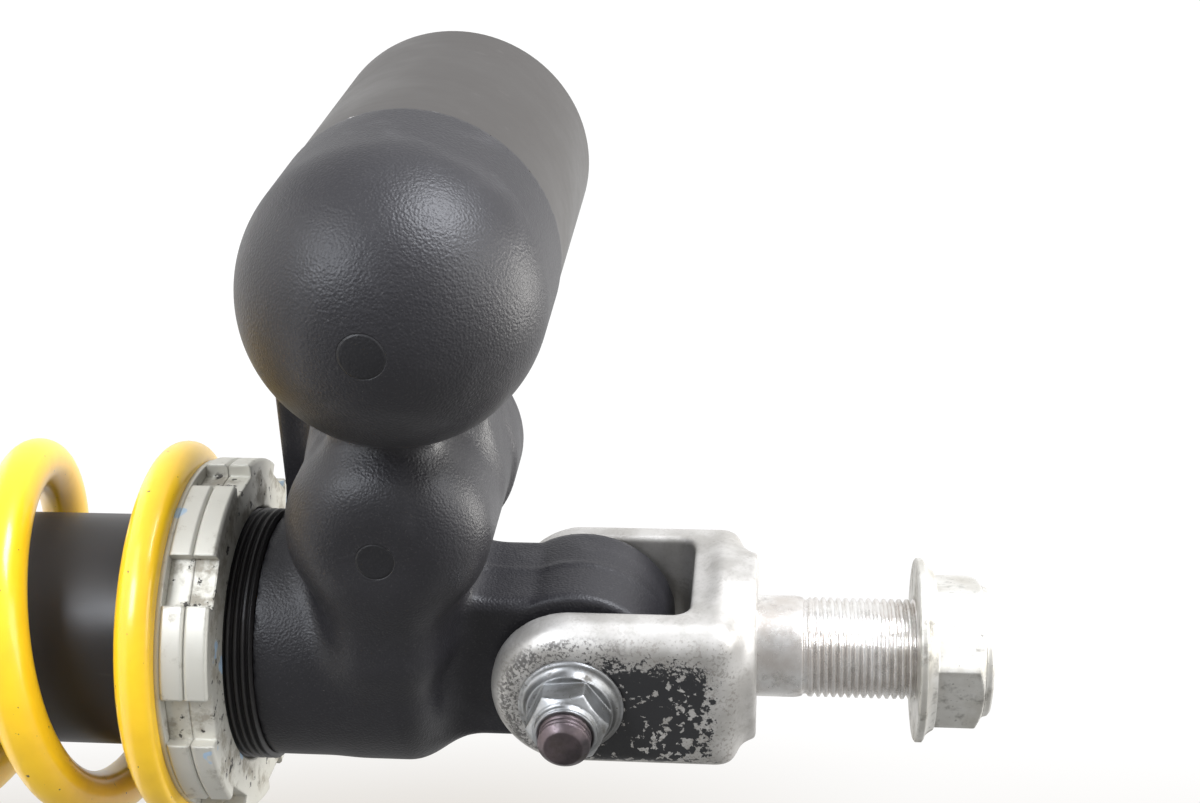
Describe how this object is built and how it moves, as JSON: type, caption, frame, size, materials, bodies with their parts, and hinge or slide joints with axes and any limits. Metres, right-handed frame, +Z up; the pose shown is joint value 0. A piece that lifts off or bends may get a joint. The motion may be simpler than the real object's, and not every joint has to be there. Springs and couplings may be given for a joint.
{
  "type": "rear shock absorber",
  "caption": "Motorcycle rear shock absorber: coil-over damper with a side gas reservoir, castellated preload rings, threaded top stud bracket and lower fork.",
  "frame": {"origin": "centre of the upper bracket's shoulder face, where the threaded stud starts", "axes": "+Z up along the damper and out through the stud; Y along the upper pivot bolt, with the bolt's head at +Y; the gas reservoir stands off towards -X"},
  "size_m": [0.1525, 0.1013, 0.4105],
  "materials": {
    "bare_casting": "bare, worn",
    "zinc_steel": "zinc plated, dirty",
    "plain_steel": "turned",
    "black_casting": "charcoal satin, textured",
    "reservoir_coat": "charcoal, matte",
    "black_tube": "dark, smooth",
    "yellow_spring": "glossy",
    "ring_metal": "turned, grimy",
    "chrome_rod": "hard chrome",
    "sintered_iron": "sintered",
    "seal_rubber": "matte",
    "bush_plastic": "self lubricating",
    "bump_foam": "foamed",
    "cup_plastic": "moulded",
    "valve_brass": "plain"
  },
  "bodies": {
    "upper_bracket_body": {"upper_bracket": "bare_casting", "stud_nut": "zinc_steel", "pivot_bolt": "zinc_steel", "pivot_nut": "zinc_steel", "pivot_collar": "plain_steel"},
    "damper": {"head_casting": "black_casting", "damper_tube": "black_tube", "tube_o_ring": "seal_rubber", "upper_bush_shell": "plain_steel", "upper_bush_liner": "bush_plastic", "upper_dust_seals": "seal_rubber", "reservoir_tube": "reservoir_coat", "reservoir_bladder": "seal_rubber", "reservoir_cap": "reservoir_coat", "reservoir_cap_o_ring": "seal_rubber", "reservoir_snap_ring": "plain_steel", "gas_valve": "valve_brass", "gas_valve_cap": "seal_rubber", "compression_plug": "black_tube", "compression_o_ring": "seal_rubber", "compression_piston": "ring_metal", "compression_shims": "plain_steel", "compression_piston_nut": "plain_steel", "seal_head": "ring_metal", "seal_head_o_ring": "seal_rubber", "rod_bush": "bush_plastic", "oil_seal": "seal_rubber", "dust_wiper": "seal_rubber", "stopper_ring": "plain_steel", "tube_end_cap": "black_tube", "coil_spring": "yellow_spring"},
    "preload_seat": {"spring_upper_seat": "plain_steel"},
    "adjuster_ring": {"preload_adjuster_ring": "ring_metal"},
    "lock_ring": {"preload_lock_ring": "ring_metal"},
    "compression_adjuster": {"compression_adjuster_screw": "plain_steel"},
    "compression_needle_body": {"compression_needle": "plain_steel"},
    "spring_carrier": {"spring_lower_seat": "ring_metal"},
    "rod": {"piston_rod": "chrome_rod", "damper_piston": "sintered_iron", "piston_band": "bush_plastic", "rebound_shims": "plain_steel", "piston_shims": "plain_steel", "piston_nut": "plain_steel", "top_out_rubber": "seal_rubber", "top_out_spacer": "plain_steel", "bump_stop": "bump_foam", "bump_stop_cup": "cup_plastic", "lower_fork": "ring_metal"},
    "rebound_adjuster": {"rebound_adjuster_screw": "plain_steel"},
    "rebound_rod_body": {"rebound_push_rod": "plain_steel"}
  },
  "joints": [
    {"name": "upper_pivot", "type": "hinge", "parent": "upper_bracket_body", "child": "damper", "pos_m": [0, 0, -0.035], "axis": [0, 1, 0], "range_deg": [-30, 30]},
    {"name": "adjuster_slide", "type": "slide", "parent": "damper", "child": "preload_seat", "axis": [0, 0, 1], "range_m": [-0.0081, 0.0041], "deforming": ["coil_spring"]},
    {"name": "adjuster_turn", "type": "hinge", "parent": "preload_seat", "child": "adjuster_ring", "pos_m": [0, 0, -0.109], "axis": [0, 0, 1], "range_deg": [-1920, 960]},
    {"name": "lock_turn", "type": "hinge", "parent": "preload_seat", "child": "lock_ring", "pos_m": [0, 0, -0.104], "axis": [0, 0, 1], "range_deg": [-1921, 961]},
    {"name": "rod_slide", "type": "slide", "parent": "damper", "child": "spring_carrier", "axis": [0, 0, 1], "range_m": [0, 0.048], "stiffness_N_per_m": 90000, "springref_m": -0.008, "deforming": ["coil_spring"]},
    {"name": "rod_turn", "type": "hinge", "parent": "spring_carrier", "child": "rod", "pos_m": [0, 0, -0.3], "axis": [0, 0, 1], "continuous": true},
    {"name": "compression_screw_turn", "type": "hinge", "parent": "damper", "child": "compression_adjuster", "pos_m": [-0.035, 0.024, -0.069], "axis": [0, 1, 0], "range_deg": [-361, 721]},
    {"name": "compression_needle_slide", "type": "slide", "parent": "damper", "child": "compression_needle_body", "axis": [0, 1, 0], "range_m": [-0.001, 0.002]},
    {"name": "rebound_screw_turn", "type": "hinge", "parent": "rod", "child": "rebound_adjuster", "pos_m": [0, -0.01, -0.326], "axis": [0, -1, 0], "range_deg": [-1, 1081]},
    {"name": "rebound_rod_slide", "type": "slide", "parent": "rod", "child": "rebound_rod_body", "axis": [0, 0, 1], "range_m": [0, 0.0015]}
  ],
  "couplings": [
    {"joint": "adjuster_slide", "follows": "adjuster_turn", "m_per_rad": 0.00023873},
    {"joint": "lock_turn", "follows": "adjuster_turn", "ratio": 1},
    {"joint": "compression_screw_turn", "follows": "compression_needle_slide", "rad_per_m": 6283.2},
    {"joint": "rebound_screw_turn", "follows": "rebound_rod_slide", "rad_per_m": 12566}
  ]
}
